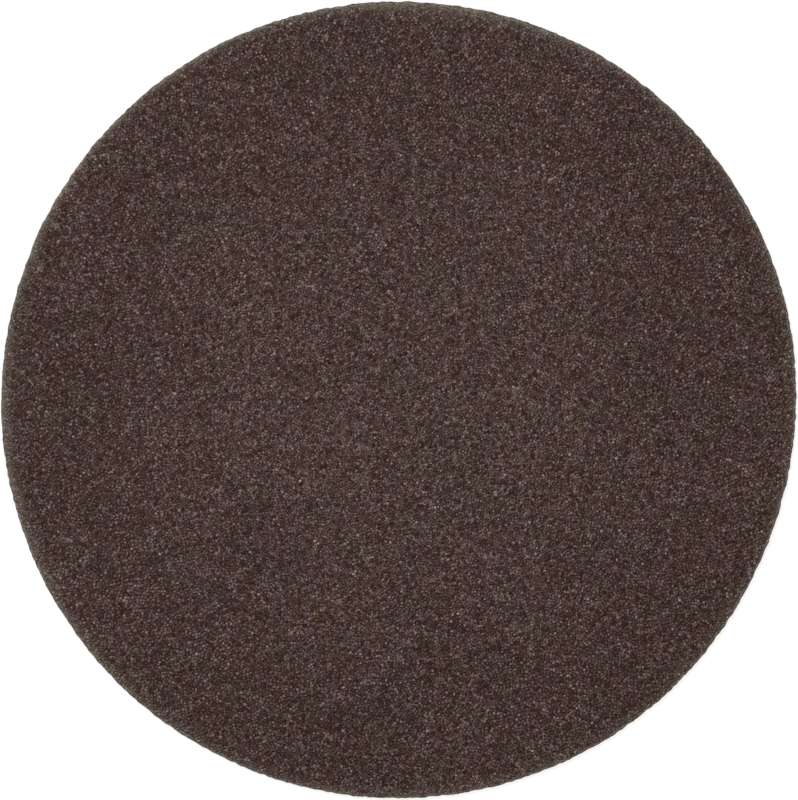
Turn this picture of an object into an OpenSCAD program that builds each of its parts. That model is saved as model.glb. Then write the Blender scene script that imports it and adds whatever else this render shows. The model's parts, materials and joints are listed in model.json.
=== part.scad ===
// Round sanding disc for an orbital sander, lying flat with its grain upwards.
// A paper sheet with a loop pile on its back carries a closed coat of resin and grain.
// Lengths are in millimetres, Z = 0 is the pile's foot, and the disc is centred on the Z axis.

/* [Disc] */
// Diameter of the disc, cut to the size of the sander's pad
disc_d = 125; // [75:1:200]

/* [Paper] */
// Thickness of the paper sheet that carries the grain
paper_t = 0.35; // [0.25:0.05:1]
// Width of the shoulder that the cutting die rolls over at the paper's front edge
shoulder_w = 0.3; // [0.1:0.05:1]
// Drop of that shoulder below the paper's face
shoulder_h = 0.15; // [0.05:0.01:0.2]

/* [Loop pile] */
// Height of the loop pile on the back of the paper
pile_t = 0.55; // [0.35:0.05:1.5]
// Distance by which the cut pile stands back from the paper's edge
pile_setback = 0.12; // [0.05:0.01:0.5]
// Width of the rounding at the pile's foot
foot_w = 0.25; // [0.1:0.05:1]
// Height of the rounding at the pile's foot
foot_h = 0.2; // [0.05:0.05:0.3]

/* [Abrasive coat] */
// Height of the resin bed and its grain, up to the grain tips
coat_t = 0.45; // [0.3:0.05:1.2]
// Width of the flat, bare paper left between the shoulder and the coat
bare_w = 0.05; // [0.02:0.01:1]
// Width of the edge where the die has crushed the grain
crush_w = 0.4; // [0.1:0.05:1]
// Drop of the crushed edge below the grain tips
crush_h = 0.26; // [0.05:0.01:0.28]

/* [Hidden] */

paper_color = [0.42, 0.38, 0.32];
grain_color = [0.29, 0.23, 0.21];

disc_r = disc_d / 2;
pile_r = disc_r - pile_setback;
coat_r = disc_r - shoulder_w - bare_w;
face_z = pile_t + paper_t;
tip_z = face_z + coat_t;

// Straight steps round each rolled or crushed corner
corner_steps = 6;
$fn = 180;

// Points [r, z] of a rounded corner, from the flat face at height z out to the side at radius r.
// w is its width and h its height, which is negative where the face looks down.
function round_corner(r, z, w, h) =
    [for (i = [0 : corner_steps])
        let (a = 90 * i / corner_steps)
        [r - w + w * sin(a), z - h + h * cos(a)]];

function reversed(points) = [for (i = [len(points) - 1 : -1 : 0]) points[i]];

// Paper and pile together: they are laminated and cut as one sheet
module backing() {
    color(paper_color)
    rotate_extrude()
    polygon(concat(
        [[0, 0]],
        round_corner(pile_r, 0, foot_w, -foot_h),
        [[pile_r, pile_t], [disc_r, pile_t]],
        reversed(round_corner(disc_r, face_z, shoulder_w, shoulder_h)),
        [[0, face_z]]
    ));
}

// Resin and grain, bonded to the paper's face and crushed down along the cut
module abrasive_coat() {
    color(grain_color)
    rotate_extrude()
    polygon(concat(
        [[0, face_z], [coat_r, face_z]],
        reversed(round_corner(coat_r, tip_z, crush_w, crush_h)),
        [[0, tip_z]]
    ));
}

backing();
abrasive_coat();
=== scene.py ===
"""Dresses the round sanding disc: worn paper edge, resin bed, a field of mineral grain and a loop pile."""

import json
import math
import random

import bmesh
import bpy
from mathutils import Matrix, Vector, noise

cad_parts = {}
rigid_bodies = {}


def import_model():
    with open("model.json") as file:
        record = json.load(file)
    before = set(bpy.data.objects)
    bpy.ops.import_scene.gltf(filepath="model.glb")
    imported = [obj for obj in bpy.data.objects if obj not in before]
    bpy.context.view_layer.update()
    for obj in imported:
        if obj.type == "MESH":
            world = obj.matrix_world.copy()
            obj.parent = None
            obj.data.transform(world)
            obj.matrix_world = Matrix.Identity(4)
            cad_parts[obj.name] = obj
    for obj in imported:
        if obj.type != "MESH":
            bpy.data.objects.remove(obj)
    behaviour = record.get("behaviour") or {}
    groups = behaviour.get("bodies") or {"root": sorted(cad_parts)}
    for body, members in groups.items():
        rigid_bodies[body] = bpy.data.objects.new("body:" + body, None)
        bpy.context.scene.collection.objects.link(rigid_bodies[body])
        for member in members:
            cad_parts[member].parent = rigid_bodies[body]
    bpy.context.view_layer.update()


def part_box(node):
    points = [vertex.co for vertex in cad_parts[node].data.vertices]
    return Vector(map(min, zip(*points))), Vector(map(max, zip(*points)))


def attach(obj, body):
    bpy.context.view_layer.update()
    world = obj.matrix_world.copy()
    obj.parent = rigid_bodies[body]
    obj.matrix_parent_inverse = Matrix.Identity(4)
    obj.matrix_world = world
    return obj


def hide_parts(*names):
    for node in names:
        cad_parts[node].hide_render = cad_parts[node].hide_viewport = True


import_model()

# Places taken from the frame, in metres
MM = 0.001
SHEET_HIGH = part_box("backing")[1]
COAT_LOW, COAT_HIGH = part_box("abrasive_coat")
DISC_R = max(SHEET_HIGH.x, SHEET_HIGH.y)
COAT_R = max(COAT_HIGH.x, COAT_HIGH.y)
FACE_Z = COAT_LOW.z

# Paper and its cut edge
PAPER_T = 0.35 * MM
SHOULDER_W, SHOULDER_H = 0.3 * MM, 0.15 * MM
# Steps round a turned edge, where its last inner ring lies, and from where rings follow the cut
EDGE_STEPS = 1080
FLAT_MARGIN, MOVED_MARGIN = 3 * MM, 2 * MM
# Fuzz and wander of the cut, as size along the edge and depth
CUT_WOBBLE = [(0.8 * MM, 0.32 * MM), (3.0 * MM, 0.14 * MM), (8.0 * MM, 0.14 * MM)]
# Flats and fullness of the cut, as direction, half width in degrees and depth
CUT_SHAPE = [
    (338, 11, 0.17 * MM), (80, 16, 0.07 * MM), (163, 8, 0.07 * MM), (240, 7, 0.06 * MM),
    (17, 12, -0.13 * MM), (122, 12, -0.06 * MM), (300, 13, -0.07 * MM),
]
# Mean distance of the cut inside the nominal circle
CUT_MEAN = 0.17 * MM

# Knit ground and its rounded foot, on the back
PILE_R = DISC_R - 0.12 * MM
GROUND_Z = 0.35 * MM
FOOT_W, FOOT_H = 0.12 * MM, 0.08 * MM

# Loops of the pile: height of their feet, size, spacing, how far they stray, and distance kept from the rim
LOOP_SEAT_Z = 0.42 * MM
LOOP_H = 0.32 * MM
LOOP_ALONG, LOOP_ACROSS = 1.25 * MM, 1.0 * MM
LOOP_STRAY, LOOP_STRAY_SIZE = 0.25 * MM, 0.8 * MM
LOOP_MARGIN = 0.45 * MM
LOOP_FORMS = 6
LOOP_LEAN, LOOP_TURN = 0.25, 1.5
LOOP_LEAST, LOOP_MOST = (0.9, 0.9, 0.85), (1.9, 1.3, 1.0)
# A loop's own form, in units of its depth: its thread, and how far it is bent out of its plane
YARN_R, YARN_BEND, YARN_BEND_RATE = 0.16, 0.3, 1.7

# Resin bed, its low swells, and its crushed edge
BED_Z = FACE_Z + 0.09 * MM
BED_LEAST_Z = FACE_Z + 0.01 * MM
BED_RING, BED_STEPS = 0.9 * MM, 240
SWELL_SIZE, SWELL_H = 1.6 * MM, 0.03 * MM
CRUSH_W, CRUSH_DROP = 0.4 * MM, 0.08 * MM
CRUSH_RINGS = (0.66, 0.33, 0.0)

# Grain: where it stands, how it is spread, its size and its lean
SEAT_Z = FACE_Z + 0.105 * MM
SEAT_DEPTHS = (6.0, 4.0, 3.0, 2.2, 1.6, 1.1, 0.75, 0.5, 0.4, 0.27, 0.13, -0.14)
GRAIN_GAP = 0.41 * MM
GRAIN_DENSITY = 1.2e8
GRAIN_SEED = 11
GRAIN_R = 0.345 * MM
GRAIN_LEAN, GRAIN_TURN = 0.44, math.pi
GRAIN_LEAST, GRAIN_MOST = (0.6, 0.66, 0.34), (1.15, 1.3, 0.6)
# How much smaller a wholly crushed grain is
CRUSHED_SMALLER = 0.35
# Forms of grain, as sides and width of the top, and their height and skew, for a foot one unit in radius
SHARD_FORMS = [(5, 0.6), (4, 0.7), (4, 0.55), (5, 0.4), (4, 0.5), (4, 0.7)] * 2
SHARD_H, SHARD_SKEW = 1.9, 0.24

# Wear of the coat's edge, as size along the edge and depth: small chips and a slower sweep
CHIP_SIZE, CHIP_DEPTH = 1.1 * MM, 0.16 * MM
SWEEP_SIZE, SWEEP_DEPTH = 4 * MM, 0.08 * MM
# The stretch of edge where the die tore the coat back, as direction and half width in degrees, and depth
TORN_AT, TORN_HALF, TORN_W = 85, 16, 0.15 * MM

# Share of dust at the edge of the coat, how far it reaches in, and how that share ripples round the disc. The
# dust is partly painted light: it lightens the worn edge as if lit by the bright surroundings
DUST_LIGHT_SHARE, DUST_LIGHT_REACH = 0.72, 0.4 * MM
DUST_LIGHT_RIPPLE, DUST_LIGHT_SIZE = 0.04, 30 * MM
# A second stretch of dust and painted light, on the left, and what more share and reach such stretches have;
# with the torn stretch at the top, they lighten the sides that the lamp lights
LIT_DUST_AT, LIT_DUST_HALF, LIT_DUST_FULL = 188, 28, 0.7
MORE_SHARE, MORE_REACH = 0.35, 0.9

# Seeds of the smooth noise along the edge and in the loops, and of the random values of grains and loops
CUT_SEED, CHIP_SEED, SWEEP_SEED, DUST_LIGHT_SEED = 3.3, 7.7, 5.1, 9.1
STRAY_SEED, BEND_SEED = 2.7, 5.3
RANK, TURN, SPREAD, FORM, SHADE = 1, 2, 3, 4, 5

# The photograph's view: its size, where the disc lies in it, how the disc is tilted, and the lens
PHOTO_W, PHOTO_H = 798, 800
DISC_PX = Vector((398.65, 399.7))
DISC_R_PX = 398.0
TILT, TILT_TOWARDS = math.radians(5.5), math.radians(152)
CAMERA_AWAY, CLIP_START = 1.0, 0.01
SENSOR = 24

# Lamps, as name, place, size and share of a white card's brightness, and the light of the room
SOFTBOXES = [("key", (-0.55, 0.65, 1.2), 0.25, 0.54), ("overhead", (-0.015, 0.012, 0.14), 0.05, 0.33)]
ROOM_LIGHT = 0.16
# The floor: half its width, its shade in the light, its shade for the camera, and its glow from near to far
FLOOR_HALF, FLOOR_SHADE, FLOOR_SEEN = 3.0, 0.8, 0.17
NEAR, FAR, NEAR_GLOW, FAR_GLOW = 0.15, 0.8, 0.87, 1.0


def link(obj):
    bpy.context.scene.collection.objects.link(obj)
    return obj


def mesh_of(name, bm):
    """Turns a finished bmesh into a mesh."""
    mesh = bpy.data.meshes.new(name)
    bm.to_mesh(mesh)
    bm.free()
    return mesh


def make_piece(name, bm, material, smooth=False):
    """Turns a finished bmesh into a piece with outward faces and one material."""
    bmesh.ops.recalc_face_normals(bm, faces=bm.faces)
    mesh = mesh_of(name, bm)
    mesh.materials.append(material)
    mesh.polygons.foreach_set("use_smooth", [smooth] * len(mesh.polygons))
    return link(bpy.data.objects.new(name, mesh))


def dress(piece, node):
    """Says what the piece rides on and hides the node that it stands for."""
    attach(piece, "root")
    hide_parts(node)


# Shader nodes
def place(tree, kind, props=None, **inputs):
    """Adds a node to the tree, sets its properties, and links or sets its named inputs."""
    node = tree.nodes.new(kind)
    for key, value in (props or {}).items():
        setattr(node, key, value)
    for key, value in inputs.items():
        socket = node.inputs[int(key[1:]) if key[0] == "_" else key.replace("_", " ")]
        if isinstance(value, bpy.types.NodeSocket):
            tree.links.new(value, socket)
        else:
            socket.default_value = value
    return node


def maths(tree, operation, a, b=0.0, c=0.0, clamp=False):
    props = {"operation": operation, "use_clamp": clamp}
    return place(tree, "ShaderNodeMath", props, _0=a, _1=b, _2=c).outputs[0]


def mix_colour(tree, factor, a, b, blend="MIX"):
    node = place(tree, "ShaderNodeMix", {"data_type": "RGBA", "blend_type": blend}, _0=factor, _6=a, _7=b)
    return node.outputs[2]


def object_spot(tree):
    return place(tree, "ShaderNodeTexCoord").outputs["Object"]


def shifted(tree, spot, aside):
    return place(tree, "ShaderNodeVectorMath", {"operation": "ADD"}, _0=spot, _1=(aside, 0, 0)).outputs[0]


def attribute(tree, name):
    """The piece's own value of that name, at the shaded spot."""
    return place(tree, "ShaderNodeAttribute", {"attribute_name": name}).outputs["Fac"]


def grouped(tree, group, **inputs):
    return place(tree, "ShaderNodeGroup", {"node_tree": group}, **inputs).outputs


def relief(tree, shader, height, strength, distance):
    """Gives the shader a bump of that height."""
    bump = place(tree, "ShaderNodeBump", Strength=strength, Distance=distance, Height=height)
    tree.links.new(bump.outputs[0], shader.inputs["Normal"])


def rgba(red, green, blue):
    return (red, green, blue, 1.0)


def grey(shade):
    return rgba(shade, shade, shade)


WHITE = grey(1.0)
FLOAT, COLOUR = "NodeSocketFloat", "NodeSocketColor"


def new_group(name, inputs, outputs):
    """A shader node group with named sockets, given as (name, kind, default) and (name, kind)."""
    tree = bpy.data.node_groups.new(name, "ShaderNodeTree")
    for label, kind, default in inputs:
        socket = tree.interface.new_socket(label, in_out="INPUT", socket_type=kind)
        socket.default_value = default
    for label, kind in outputs:
        tree.interface.new_socket(label, in_out="OUTPUT", socket_type=kind)
    return tree, tree.nodes.new("NodeGroupInput"), tree.nodes.new("NodeGroupOutput")


# Tints in pairs, with their fineness, from where the cloud is low to where it is high: red to olive,
# violet to amber, and a slow drift from dark to light
TINTS = [
    (1.0, rgba(1.14, 0.94, 0.97), rgba(0.90, 1.04, 1.0)),
    (1.1, rgba(0.99, 0.98, 1.18), rgba(1.02, 1.0, 0.72)),
    (0.1, grey(0.86), grey(1.14)),
]
# The clouds' values where a tint is full
CLOUD_LOW, CLOUD_HIGH = 0.34, 0.66
BLOTCH_SCALE, BLOTCH_STRENGTH = 450.0, 0.33


def blotch_group():
    """Faint reddish, olive, amber and violet patches about 2 mm wide, multiplied into a colour."""
    tree, given, out = new_group(
        "tint_blotches",
        [("Color", COLOUR, grey(0.1)), ("Scale", FLOAT, 500.0), ("Strength", FLOAT, 0.5)],
        [("Color", COLOUR)],
    )
    spot = object_spot(tree)
    tinted = given.outputs["Color"]
    for finer, low, high in TINTS:
        scale = maths(tree, "MULTIPLY", given.outputs["Scale"], finer)
        cloud = place(tree, "ShaderNodeTexNoise", Vector=shifted(tree, spot, finer), Scale=scale, Detail=0.0)
        tint = place(tree, "ShaderNodeValToRGB", Fac=cloud.outputs["Fac"])
        ramp = tint.color_ramp
        ramp.elements[0].position, ramp.elements[0].color = CLOUD_LOW, low
        ramp.elements[1].position, ramp.elements[1].color = CLOUD_HIGH, high
        ramp.elements.new(0.5).color = WHITE
        tinted = mix_colour(tree, given.outputs["Strength"], tinted, tint.outputs["Color"], "MULTIPLY")
    tree.links.new(tinted, out.inputs["Color"])
    return tree


def grit_group():
    """Fine pits and speckle that break up a surface: a mask and a height."""
    tree, given, out = new_group(
        "fine_grit",
        [("Scale", FLOAT, 9000.0), ("Contrast", FLOAT, 0.5)],
        [("Mask", FLOAT), ("Height", FLOAT)],
    )
    scale = given.outputs["Scale"]
    speck = place(tree, "ShaderNodeTexNoise", Vector=object_spot(tree), Scale=scale, Detail=2.0)
    centred = maths(tree, "SUBTRACT", speck.outputs["Fac"], 0.5)
    wide = maths(tree, "MULTIPLY", centred, given.outputs["Contrast"])
    tree.links.new(maths(tree, "ADD", wide, 0.5, clamp=True), out.inputs["Mask"])
    tree.links.new(speck.outputs["Fac"], out.inputs["Height"])
    return tree


# Strands of fibre, as shift and fineness, how thin they look, and the fineness of the knit's ribs and rows
STRANDS = [(0.0, 1.0), (0.3, 1.5), (0.7, 2.2)]
STRAND_THIN = 14.0
RIB_SCALE, ROW_SCALE = 251.0, 314.0


def knit_wave(tree, spot, direction, scale):
    props = {"bands_direction": direction}
    return place(tree, "ShaderNodeTexWave", props, Vector=spot, Scale=scale, Distortion=2.0).outputs["Fac"]


def fibre_group():
    """A tangle of brushed fibres over faint rows of stitches: a mask and a height."""
    tree, given, out = new_group(
        "brushed_fibre",
        [("Scale", FLOAT, 1500.0), ("Rows", FLOAT, 0.3)],
        [("Mask", FLOAT), ("Height", FLOAT)],
    )
    spot = object_spot(tree)
    strands = 0.0
    for aside, finer in STRANDS:
        cloud = place(
            tree, "ShaderNodeTexNoise", Vector=shifted(tree, spot, aside),
            Scale=maths(tree, "MULTIPLY", given.outputs["Scale"], finer), Detail=0.0, Distortion=0.8,
        )
        off_line = maths(tree, "ABSOLUTE", maths(tree, "SUBTRACT", cloud.outputs["Fac"], 0.5))
        line = maths(tree, "SUBTRACT", 1.0, maths(tree, "MULTIPLY", off_line, STRAND_THIN), clamp=True)
        strands = maths(tree, "MAXIMUM", line, strands)
    ribs, rows = knit_wave(tree, spot, "X", RIB_SCALE), knit_wave(tree, spot, "Y", ROW_SCALE)
    mixed = place(
        tree, "ShaderNodeMix", {"data_type": "FLOAT"},
        _0=given.outputs["Rows"], _2=strands, _3=maths(tree, "MULTIPLY", ribs, rows),
    )
    tree.links.new(mixed.outputs[0], out.inputs["Mask"])
    tree.links.new(strands, out.inputs["Height"])
    return tree


BLOTCHES, GRIT, FIBRE = blotch_group(), grit_group(), fibre_group()

# Colours, from dark to pale where a surface has two
# The dust colour is partly painted light: the pale glow of the coat's worn edge
DUST_AND_RIM_LIGHT = rgba(0.094, 0.088, 0.072)
RESIN_DARK, RESIN_PALE = rgba(0.019, 0.007, 0.004), rgba(0.068, 0.036, 0.029)
PAPER_DARK, PAPER_PALE = rgba(0.060, 0.048, 0.034), rgba(0.228, 0.192, 0.145)
PILE_DARK, PILE_PALE, PILE_WHITE = rgba(0.20, 0.165, 0.115), rgba(0.36, 0.305, 0.22), rgba(0.52, 0.46, 0.36)


def new_material(name, **constants):
    material = bpy.data.materials.new(name)
    material.use_nodes = True
    tree = material.node_tree
    shader = tree.nodes["Principled BSDF"]
    for key, value in constants.items():
        shader.inputs[key.replace("_", " ")].default_value = value
    return material, tree, shader


def coat_colour(tree, shader, own):
    """Gives the shader that colour, tinted in patches, and lightened with dust and painted light where the
    piece's own value says so.
    """
    tinted = grouped(tree, BLOTCHES, Color=own, Scale=BLOTCH_SCALE, Strength=BLOTCH_STRENGTH)["Color"]
    patches = grouped(tree, GRIT, Scale=2400.0, Contrast=3.0)["Mask"]
    thickness = maths(tree, "MULTIPLY_ADD", patches, 1.5, 0.25)
    patchy = maths(tree, "MULTIPLY", attribute(tree, "dust_and_light"), thickness, clamp=True)
    tree.links.new(mix_colour(tree, patchy, tinted, DUST_AND_RIM_LIGHT, "ADD"), shader.inputs["Base Color"])


def grain_material(name, dark, pale, gloss):
    """One sort of grain: each grain has its own shade, and its faces are finely pitted and partly dull."""
    material, tree, shader = new_material(name, Specular_IOR_Level=gloss)
    grit = grouped(tree, GRIT, Scale=7000.0, Contrast=1.4)
    coat_colour(tree, shader, mix_colour(tree, attribute(tree, "shade"), dark, pale))
    rough = place(tree, "ShaderNodeMapRange", _0=grit["Mask"], _3=0.22, _4=0.5)
    tree.links.new(rough.outputs[0], shader.inputs["Roughness"])
    relief(tree, shader, grit["Height"], 0.2, 0.01 * MM)
    return material


def resin_material():
    """The size coat between the grains: small chips drowned in dark resin."""
    material, tree, shader = new_material("cured_resin", Roughness=0.5, Specular_IOR_Level=0.1)
    chip = place(tree, "ShaderNodeTexVoronoi", Vector=object_spot(tree), Scale=3400.0)
    shade = place(tree, "ShaderNodeSeparateColor", Color=chip.outputs["Color"]).outputs["Red"]
    coat_colour(tree, shader, mix_colour(tree, maths(tree, "POWER", shade, 1.8), RESIN_DARK, RESIN_PALE))
    relief(tree, shader, maths(tree, "SUBTRACT", 1.0, chip.outputs["Distance"]), 1.0, 0.12 * MM)
    return material


def paper_material():
    """Khaki paper, speckled and fibrous along the cut."""
    material, tree, shader = new_material("khaki_paper", Roughness=0.85, Specular_IOR_Level=0.15)
    grit = grouped(tree, GRIT, Scale=2800.0, Contrast=3.0)
    tree.links.new(mix_colour(tree, grit["Mask"], PAPER_DARK, PAPER_PALE), shader.inputs["Base Color"])
    relief(tree, shader, grit["Height"], 0.6, 0.03 * MM)
    return material


def pile_material(name, dark, pale, rows):
    """Matt, brushed yarn, with the fibres and the rows of the knit in its colour and relief."""
    material, tree, shader = new_material(name, Roughness=0.9, Specular_IOR_Level=0.2, Sheen_Weight=0.2)
    fibre = grouped(tree, FIBRE, Scale=1500.0, Rows=rows)
    shade = maths(tree, "MULTIPLY", attribute(tree, "shade"), 0.35)
    lit = maths(tree, "ADD", fibre["Mask"], shade, clamp=True)
    tree.links.new(mix_colour(tree, lit, dark, pale), shader.inputs["Base Color"])
    relief(tree, shader, fibre["Height"], 0.7, 0.08 * MM)
    return material


# Edge wear, as functions of the direction from the disc's centre
def ripple(angle, size, seed):
    """A smooth value from -1 to 1 round the disc, with bumps about that size in metres."""
    reach = DISC_R / size
    return noise.noise(Vector((math.cos(angle) * reach, math.sin(angle) * reach, seed)))


def stray(spot, seed):
    """A smooth random vector, each part from -1 to 1, for that spot."""
    return Vector([noise.noise(spot + Vector((seed, 17.1 * axis, 0))) for axis in range(3)])


def hump(angle, towards, half):
    """1 in that direction, falling to nothing over that half width in degrees."""
    off = (math.degrees(angle) - towards + 180) % 360 - 180
    return math.exp(-((off / half) ** 2))


def cut_back(angle):
    """How far the cut lies inside the nominal circle in that direction."""
    wander = sum(0.5 * deep * ripple(angle, size, CUT_SEED) for size, deep in CUT_WOBBLE)
    shape = sum(deep * hump(angle, towards, half) for towards, half, deep in CUT_SHAPE)
    return max(0.0, CUT_MEAN + wander + shape)


def worn_back(angle):
    """How far the coat is worn back from its nominal foot in that direction."""
    torn = TORN_W * hump(angle, TORN_AT, TORN_HALF)
    chips = CHIP_DEPTH * (0.3 + 0.7 * ripple(angle, CHIP_SIZE, CHIP_SEED))
    chipped = chips + SWEEP_DEPTH * ripple(angle, SWEEP_SIZE, SWEEP_SEED)
    return max(0.0, torn + chipped) + cut_back(angle)


def crush_at(r, angle):
    """From 0 on the sound coat to 1 at its worn edge."""
    inside = COAT_R - worn_back(angle) - r
    return min(1.0, max(0.0, 1 - inside / CRUSH_W))


def dust_and_light_at(r, angle):
    """Share of dust and painted light, from none on the clean coat to most at its worn edge, with more at the
    top and left, where the lamp lights the edge.
    """
    inside = max(0.0, COAT_R - worn_back(angle) - r)
    wide = hump(angle, TORN_AT, TORN_HALF) + LIT_DUST_FULL * hump(angle, LIT_DUST_AT, LIT_DUST_HALF)
    share = DUST_LIGHT_SHARE + MORE_SHARE * wide + DUST_LIGHT_RIPPLE * ripple(angle, DUST_LIGHT_SIZE, DUST_LIGHT_SEED)
    return share * math.exp(-inside / (DUST_LIGHT_REACH * (1 + MORE_REACH * wide)))


# Turned pieces
def spin_profile(profile, steps):
    """A closed bmesh turned from [radius, height] points that start and end on the axis."""
    bm = bmesh.new()
    chain = [bm.verts.new((r, 0, z)) for r, z in profile]
    edges = [bm.edges.new(pair) for pair in zip(chain, chain[1:])]
    bmesh.ops.spin(
        bm, geom=chain + edges, cent=(0, 0, 0), axis=(0, 0, 1), angle=math.tau, steps=steps, use_merge=True
    )
    bmesh.ops.remove_doubles(bm, verts=bm.verts, dist=0.001 * MM)
    return bm


def turned_radius(bm, new_radius):
    """Moves each vertex outwards or inwards to new_radius(its radius, its direction)."""
    for vert in bm.verts:
        r = math.hypot(vert.co.x, vert.co.y)
        if r > 0.5 * MM:
            angle = math.atan2(vert.co.y, vert.co.x)
            share = new_radius(r, angle) / r
            vert.co.x *= share
            vert.co.y *= share


def rounded(r, z, width, height, directions):
    """Points round a corner of a section, in those directions in degrees from the axis."""
    return [
        (r - width * (1 - math.sin(a)), z + height * (1 - math.cos(a))) for a in map(math.radians, directions)
    ]


def cut_sheet(name, profile, edge_r, material):
    """A turned sheet whose edge, at that radius, follows the cut."""
    bm = spin_profile(profile, EDGE_STEPS)
    turned_radius(bm, lambda r, angle: r - cut_back(angle) if r > edge_r - MOVED_MARGIN else r)
    return make_piece(name, bm, material, smooth=True)


def paper_piece():
    """The paper sheet with its rolled shoulder and its slightly ragged cut."""
    under, inner = FACE_Z - PAPER_T, DISC_R - FLAT_MARGIN
    shoulder = rounded(DISC_R, FACE_Z, SHOULDER_W, -SHOULDER_H, (90, 67, 45, 22, 0))
    profile = [(0, under), (inner, under), (DISC_R, under), *shoulder, (inner, FACE_Z), (0, FACE_Z)]
    return cut_sheet("paper_sheet", profile, DISC_R, paper_material())


def knit_ground():
    """The closed ground of the loop fabric, set back from the paper's edge."""
    top, inner = FACE_Z - PAPER_T, PILE_R - FLAT_MARGIN
    foot = rounded(PILE_R, GROUND_Z, FOOT_W, FOOT_H, (0, 30, 60, 90))
    profile = [(0, GROUND_Z), (inner, GROUND_Z), *foot, (PILE_R, top), (inner, top), (0, top)]
    return cut_sheet("knit_ground", profile, PILE_R, pile_material("knit_ground", PILE_DARK, PILE_PALE, 0.45))


def bed_rings():
    """Radii from the centre to the foot of the coat, closer together at the crushed edge."""
    count = int((COAT_R - CRUSH_W) / BED_RING)
    even = [(COAT_R - CRUSH_W) * i / count for i in range(1, count + 1)]
    return even + [COAT_R - CRUSH_W * share for share in CRUSH_RINGS]


def bed_height(x, y):
    """Height of the resin between the grains, with low swells."""
    r, angle = math.hypot(x, y), math.atan2(y, x)
    swell = noise.noise(Vector((x, y, 0)) / SWELL_SIZE) * SWELL_H
    return max(BED_LEAST_Z, BED_Z + swell - CRUSH_DROP * crush_at(r, angle) ** 2)


def worn_ring(r, angle):
    """The new radius of a ring of the bed: rings take more of the wear the nearer they are to the edge."""
    return r - worn_back(angle) * min(1.0, max(0.0, (r - COAT_R) / MOVED_MARGIN + 1.2))


def resin_bed():
    """The closed bed of resin that the grains stand in."""
    profile = [(0, FACE_Z), (COAT_R, FACE_Z), *[(r, BED_Z) for r in reversed(bed_rings())], (0, BED_Z)]
    bm = spin_profile(profile, BED_STEPS)
    turned_radius(bm, worn_ring)
    # Dust and painted light at the worn edge, as each vertex's own value
    dust_and_light = bm.verts.layers.float.new("dust_and_light")
    for vert in bm.verts:
        vert[dust_and_light] = dust_and_light_at(math.hypot(vert.co.x, vert.co.y), math.atan2(vert.co.y, vert.co.x))
        if vert.co.z > BED_LEAST_Z:
            vert.co.z = bed_height(vert.co.x, vert.co.y)
    return make_piece("resin_bed", bm, resin_material(), smooth=True)


# Grain and loops, each stood on a scattered point
def finished_shape(name, bm):
    bmesh.ops.triangulate(bm, faces=bm.faces)
    bmesh.ops.recalc_face_normals(bm, faces=bm.faces)
    return bpy.data.objects.new(name, mesh_of(name, bm))


def shard(name, corners, top, draw):
    """One mineral chip about two units wide: a cone stub of a few sides, knocked out of true."""
    bm = bmesh.new()
    bmesh.ops.create_cone(bm, cap_ends=True, segments=corners, radius1=1.0, radius2=top, depth=SHARD_H)
    for vert in bm.verts:
        vert.co += Vector([draw.uniform(-SHARD_SKEW, SHARD_SKEW) for _ in range(3)])
    return finished_shape(name, bm)


def loop_of_yarn(name, number):
    """One pile loop about one unit deep: a thin strand turned through half a ring, below its feet."""
    bm = bmesh.new()
    bmesh.ops.create_circle(bm, segments=3, radius=YARN_R)
    bmesh.ops.translate(bm, verts=bm.verts, vec=(1.0, 0, 0))
    ring = bm.verts[:] + bm.edges[:]
    bmesh.ops.spin(bm, geom=ring, cent=(0, 0, 0), axis=(0, 1, 0), angle=math.pi, steps=3)
    bmesh.ops.holes_fill(bm, edges=bm.edges)
    for vert in bm.verts:
        vert.co += stray(vert.co * YARN_BEND_RATE, BEND_SEED * number) * YARN_BEND
    return finished_shape(name, bm)


def shape_set(name, shapes):
    """Gathers the shapes that a field repeats."""
    gathered = bpy.data.collections.new(name)
    bpy.context.scene.collection.children.link(gathered)
    for shape in shapes:
        gathered.objects.link(shape)
    return gathered


def remove_set(gathered):
    for shape in list(gathered.objects):
        bpy.data.objects.remove(shape)
    bpy.data.collections.remove(gathered)


def grain_seat():
    """The surface that grains stand on, with crush, and dust with painted light, marked on it, bent round
    from a flat grid.
    """
    rings = [0.01 * MM, DISC_R * 0.5]
    rings += [COAT_R - depth * MM for depth in SEAT_DEPTHS]
    bm = bmesh.new()
    bmesh.ops.create_grid(bm, x_segments=EDGE_STEPS, y_segments=len(rings) - 1, size=1.0)
    crush = bm.verts.layers.float.new("crush")
    dust_and_light = bm.verts.layers.float.new("dust_and_light")
    for vert in bm.verts:
        angle = math.pi * vert.co.x
        r = rings[round((vert.co.y + 1) / 2 * (len(rings) - 1))]
        if r > COAT_R - MOVED_MARGIN:
            r -= worn_back(angle)
        vert[crush], vert[dust_and_light] = crush_at(r, angle), dust_and_light_at(r, angle)
        vert.co = Vector((r * math.cos(angle), r * math.sin(angle), SEAT_Z - CRUSH_DROP * vert[crush] ** 2))
    return link(bpy.data.objects.new("grain_seat", mesh_of("grain_seat", bm)))


def too_near_rim(spot):
    return spot.xy.length > PILE_R - cut_back(math.atan2(spot.y, spot.x)) - LOOP_MARGIN


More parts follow.
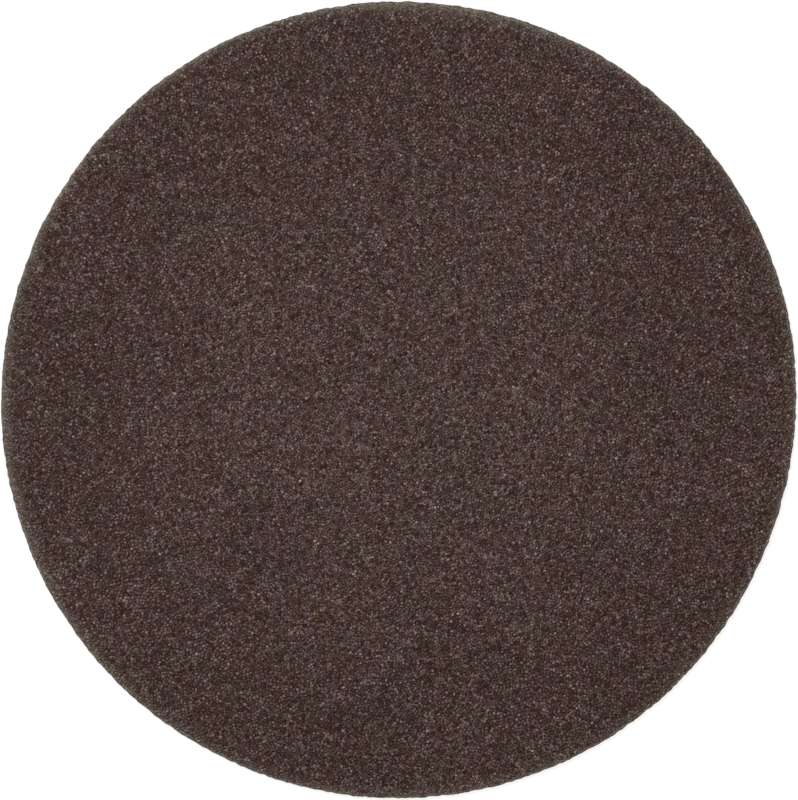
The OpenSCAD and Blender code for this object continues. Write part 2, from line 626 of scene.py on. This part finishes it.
def loop_feet():
    """The stitches that loops hang from: a brick-laid grid of points over the back."""
    columns, rows = int(2 * PILE_R / LOOP_ALONG), int(2 * PILE_R / LOOP_ACROSS)
    bm = bmesh.new()
    bmesh.ops.create_grid(bm, x_segments=columns, y_segments=rows, size=1.0)
    for vert in bm.verts:
        row = round((vert.co.y + 1) / 2 * rows)
        x = (vert.co.x * columns + row % 2 - 0.5) * LOOP_ALONG / 2
        y = vert.co.y * rows * LOOP_ACROSS / 2
        aside = stray(Vector((x, y, 0)) / LOOP_STRAY_SIZE, STRAY_SEED) * LOOP_STRAY
        vert.co = Vector((x + aside.x, y + aside.y, LOOP_SEAT_Z))
    bmesh.ops.delete(bm, geom=[v for v in bm.verts if too_near_rim(v.co)], context="VERTS")
    return link(bpy.data.objects.new("loop_feet", mesh_of("loop_feet", bm)))


def geometry_group(name, limits=()):
    """A geometry node group with a mesh in, a mesh out and named numbers."""
    tree = bpy.data.node_groups.new(name, "GeometryNodeTree")
    tree.interface.new_socket("Geometry", in_out="INPUT", socket_type="NodeSocketGeometry")
    for label in limits:
        tree.interface.new_socket(label, in_out="INPUT", socket_type=FLOAT)
    tree.interface.new_socket("Geometry", in_out="OUTPUT", socket_type="NodeSocketGeometry")
    return tree, tree.nodes.new("NodeGroupInput"), tree.nodes.new("NodeGroupOutput")


# For each kind of random value, its first input and its output
DRAW_SOCKETS = {"FLOAT_VECTOR": (0, 0), "FLOAT": (2, 1), "INT": (4, 2)}


def drawn(tree, kind, low, high, seed):
    """A random number or vector for each point."""
    first, output = DRAW_SOCKETS[kind]
    limits = {f"_{first}": low, f"_{first + 1}": high, "_8": seed}
    return place(tree, "FunctionNodeRandomValue", {"data_type": kind}, **limits).outputs[output]


def compared(tree, operation, a, b):
    return place(tree, "FunctionNodeCompare", {"operation": operation}, _0=a, _1=b).outputs[0]


def scatter_tree():
    """Spreads points over a surface, none closer to another than the grain gap."""
    tree, given, out = geometry_group("scatter_points")
    points = place(
        tree, "GeometryNodeDistributePointsOnFaces", {"distribute_method": "POISSON"},
        Mesh=given.outputs["Geometry"], Distance_Min=GRAIN_GAP, Density_Max=GRAIN_DENSITY, Seed=GRAIN_SEED,
    )
    loose = place(tree, "GeometryNodePointsToVertices", Points=points.outputs["Points"])
    tree.links.new(loose.outputs[0], out.inputs[0])
    return tree


def stand_tree(name, shapes, size, lean, turn, least, most):
    """Stands a shape on each point whose rank lies between two limits, sized, leant and turned at random."""
    tree, given, out = geometry_group(name, ("Rank From", "Rank To"))
    rank = drawn(tree, "FLOAT", 0.0, 1.0, RANK)
    above = compared(tree, "GREATER_EQUAL", rank, given.outputs[1])
    below = compared(tree, "LESS_THAN", rank, given.outputs[2])
    chosen = place(tree, "FunctionNodeBooleanMath", {"operation": "AND"}, _0=above, _1=below)
    crush = place(tree, "GeometryNodeInputNamedAttribute", {"data_type": "FLOAT"}, Name="crush").outputs[0]
    whole = maths(tree, "MULTIPLY_ADD", crush, -CRUSHED_SMALLER, 1.0)
    scale = place(
        tree, "ShaderNodeVectorMath", {"operation": "SCALE"},
        _0=drawn(tree, "FLOAT_VECTOR", least, most, SPREAD), Scale=maths(tree, "MULTIPLY", whole, size),
    )
    forms = place(tree, "GeometryNodeCollectionInfo", _0=shapes, _1=True, _2=True).outputs[0]
    stood = place(
        tree, "GeometryNodeInstanceOnPoints",
        Points=given.outputs["Geometry"], Selection=chosen.outputs[0], Instance=forms,
        Pick_Instance=True, Instance_Index=drawn(tree, "INT", 0, len(shapes.objects) - 1, FORM),
        Rotation=drawn(tree, "FLOAT_VECTOR", (-lean, -lean, -turn), (lean, lean, turn), TURN),
        Scale=scale.outputs[0],
    )
    shade = place(
        tree, "GeometryNodeStoreNamedAttribute", {"data_type": "FLOAT", "domain": "INSTANCE"},
        Geometry=stood.outputs[0], Name="shade", Value=drawn(tree, "FLOAT", 0.0, 1.0, SHADE),
    )
    solid = place(tree, "GeometryNodeRealizeInstances", Geometry=shade.outputs[0])
    tree.links.new(solid.outputs[0], out.inputs[0])
    return tree


def grown(helper, tree):
    """Puts the group on the helper as a modifier."""
    growth = helper.modifiers.new("growth", "NODES")
    growth.node_group = tree
    return growth


def as_mesh(helper, name):
    helper.update_tag()
    mesh = bpy.data.meshes.new_from_object(helper.evaluated_get(bpy.context.evaluated_depsgraph_get()))
    mesh.name = name
    return mesh


def field(points, tree, sorts):
    """One piece for each sort, given as name, share of the points and material."""
    growth = grown(points, tree)
    limits = [item.identifier for item in tree.interface.items_tree if item.name.startswith("Rank")]
    pieces, rank = [], 0.0
    for name, share, material in sorts:
        growth[limits[0]], growth[limits[1]] = rank, rank + share
        rank += share
        mesh = as_mesh(points, name)
        mesh.materials.clear()
        mesh.materials.append(material)
        pieces.append(link(bpy.data.objects.new(name, mesh)))
    bpy.data.objects.remove(points)
    return pieces


# Each sort of grain: its share of the field, the range of its colour and its gloss. The pale end of the
# ranges, and the grey sort most, is partly painted highlight: pale colour standing in for glints off the
# facets
GRAIN_SORTS = [
    ("black_grain", 0.19, rgba(0.036, 0.013, 0.009), rgba(0.072, 0.041, 0.035), 0.12),
    ("umber_grain", 0.275, rgba(0.072, 0.041, 0.035), rgba(0.098, 0.062, 0.056), 0.12),
    ("brown_grain", 0.285, rgba(0.098, 0.062, 0.056), rgba(0.131, 0.089, 0.081), 0.14),
    ("grey_grain", 0.175, rgba(0.131, 0.089, 0.081), rgba(0.183, 0.132, 0.123), 0.18),
    ("amber_grain", 0.075, rgba(0.080, 0.047, 0.040), rgba(0.138, 0.095, 0.082), 0.12),
]


def grain_field():
    """The closed coat, as one piece for each sort of grain."""
    draw = random.Random(GRAIN_SEED)
    shapes = shape_set("shards", [shard(f"shard_{n:02d}", *form, draw) for n, form in enumerate(SHARD_FORMS)])
    seat = grain_seat()
    grown(seat, scatter_tree())
    points = link(bpy.data.objects.new("grain_points", as_mesh(seat, "grain_points")))
    bpy.data.objects.remove(seat)
    tree = stand_tree("stand_grain", shapes, GRAIN_R, GRAIN_LEAN, GRAIN_TURN, GRAIN_LEAST, GRAIN_MOST)
    sorts = [(name, share, grain_material(name, *looks)) for name, share, *looks in GRAIN_SORTS]
    pieces = field(points, tree, sorts)
    remove_set(shapes)
    return pieces


def loop_field():
    """The pile on the back, in two shades of yarn."""
    shapes = shape_set("loops", [loop_of_yarn(f"loop_{n}", n) for n in range(LOOP_FORMS)])
    tree = stand_tree("stand_loops", shapes, LOOP_H, LOOP_LEAN, LOOP_TURN, LOOP_LEAST, LOOP_MOST)
    sorts = [
        ("pale_loops", 0.5, pile_material("pale_yarn", PILE_PALE, PILE_WHITE, 0.0)),
        ("sand_loops", 0.5, pile_material("sand_yarn", PILE_DARK, PILE_PALE, 0.0)),
    ]
    pieces = field(loop_feet(), tree, sorts)
    remove_set(shapes)
    return pieces


# Surroundings
def camera_white(tree, lit, seen, output):
    """Mixes a lit shader with one that rays from the camera and in reflections see."""
    path = place(tree, "ShaderNodeLightPath")
    direct = maths(tree, "MAXIMUM", path.outputs["Is Camera Ray"], path.outputs["Is Glossy Ray"])
    shown = place(tree, "ShaderNodeMixShader", _0=direct, _1=lit, _2=seen)
    tree.links.new(shown.outputs[0], tree.nodes[output].inputs["Surface"])


def make_floor():
    bm = bmesh.new()
    bmesh.ops.create_grid(bm, x_segments=1, y_segments=1, size=FLOOR_HALF)
    material, tree, shader = new_material("white_floor", Roughness=0.9, Base_Color=grey(FLOOR_SHADE))
    pale = place(tree, "ShaderNodeBsdfDiffuse", Color=grey(FLOOR_SEEN))
    away = place(tree, "ShaderNodeVectorMath", {"operation": "LENGTH"}, _0=object_spot(tree)).outputs["Value"]
    whiter = place(
        tree, "ShaderNodeMapRange",
        Value=away, From_Min=NEAR, From_Max=FAR, To_Min=NEAR_GLOW, To_Max=FAR_GLOW,
    )
    glow = place(tree, "ShaderNodeEmission", Strength=whiter.outputs[0])
    both = place(tree, "ShaderNodeAddShader", _0=pale.outputs[0], _1=glow.outputs[0])
    camera_white(tree, shader.outputs[0], both.outputs[0], "Material Output")
    make_piece("floor", bm, material)


def make_world():
    world = bpy.data.worlds.new("studio")
    bpy.context.scene.world = world
    world.use_nodes = True
    tree = world.node_tree
    room = tree.nodes["Background"]
    room.inputs["Strength"].default_value = ROOM_LIGHT
    room.inputs["Color"].default_value = WHITE
    white = place(tree, "ShaderNodeBackground", Color=WHITE, Strength=1.0)
    camera_white(tree, room.outputs[0], white.outputs[0], "World Output")


def softbox(name, place_at, size, share):
    """A square lamp that faces the disc and gives that share of a white card's brightness at its centre."""
    away = Vector(place_at)
    lamp = bpy.data.lights.new(name, "AREA")
    lamp.size = size
    lamp.energy = share * math.pi**2 * away.length**3 / away.z
    obj = link(bpy.data.objects.new(name, lamp))
    obj.location = away
    obj.rotation_euler = away.to_track_quat("Z", "Y").to_euler()
    obj.visible_camera = False


def make_camera():
    """A long lens over the disc, tilted a little to the upper left, with the rim framed as in the photo."""
    back = Vector((math.cos(TILT_TOWARDS), math.sin(TILT_TOWARDS), 0)) * math.sin(TILT)
    back.z = math.cos(TILT)
    right = Vector((0, 1, 0)).cross(back).normalized()
    up = back.cross(right)
    eye = Vector((0, 0, FACE_Z)) + back * CAMERA_AWAY
    rim_r = DISC_R - CUT_MEAN
    rim = [
        Vector((rim_r * math.cos(a), rim_r * math.sin(a), FACE_Z - SHOULDER_H)) - eye
        for a in map(math.radians, range(360))
    ]
    across = [point.dot(right) / -point.dot(back) for point in rim]
    upward = [point.dot(up) / -point.dot(back) for point in rim]
    half = (max(across) - min(across) + max(upward) - min(upward)) / 4
    data = bpy.data.cameras.new("camera")
    data.sensor_fit = "VERTICAL"
    data.sensor_height = SENSOR
    data.lens = DISC_R_PX / PHOTO_H * SENSOR / half
    zoom = data.lens / SENSOR
    data.shift_x = (max(across) + min(across)) / 2 * zoom - (DISC_PX.x - PHOTO_W / 2) / PHOTO_H
    data.shift_y = (max(upward) + min(upward)) / 2 * zoom - (PHOTO_H / 2 - DISC_PX.y) / PHOTO_H
    data.clip_start = CLIP_START
    camera = link(bpy.data.objects.new("camera", data))
    camera.matrix_world = Matrix.Translation(eye) @ Matrix((right, up, back)).transposed().to_4x4()
    bpy.context.scene.camera = camera


make_camera()
make_world()
make_floor()
for lamp_looks in SOFTBOXES:
    softbox(*lamp_looks)

for layer in (paper_piece(), knit_ground(), *loop_field()):
    dress(layer, "backing")
dress(resin_bed(), "abrasive_coat")
for grain in grain_field():
    dress(grain, "abrasive_coat")

bpy.context.scene.view_settings.view_transform = "Standard"
